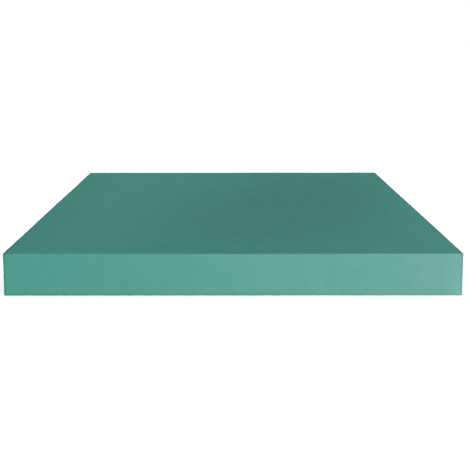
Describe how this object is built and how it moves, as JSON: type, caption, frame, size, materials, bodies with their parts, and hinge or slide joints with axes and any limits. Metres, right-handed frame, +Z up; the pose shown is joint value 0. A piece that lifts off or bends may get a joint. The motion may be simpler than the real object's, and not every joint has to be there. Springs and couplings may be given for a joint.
{
  "type": "floral foam sheet",
  "caption": "Flat rectangular sheet of dry green floral foam with plain sawn faces; it is soaked in water and holds cut flower stems.",
  "frame": {"origin": "middle of the underside, which is the face that the sheet lies on", "axes": "+Z up through the thickness, +Y along the long side towards the back, +X along the short side to the right seen from the front end"},
  "size_m": [0.61, 0.914, 0.057],
  "materials": {
    "foam": "matte"
  },
  "bodies": {
    "root": {"foam_sheet": "foam"}
  },
  "joints": []
}
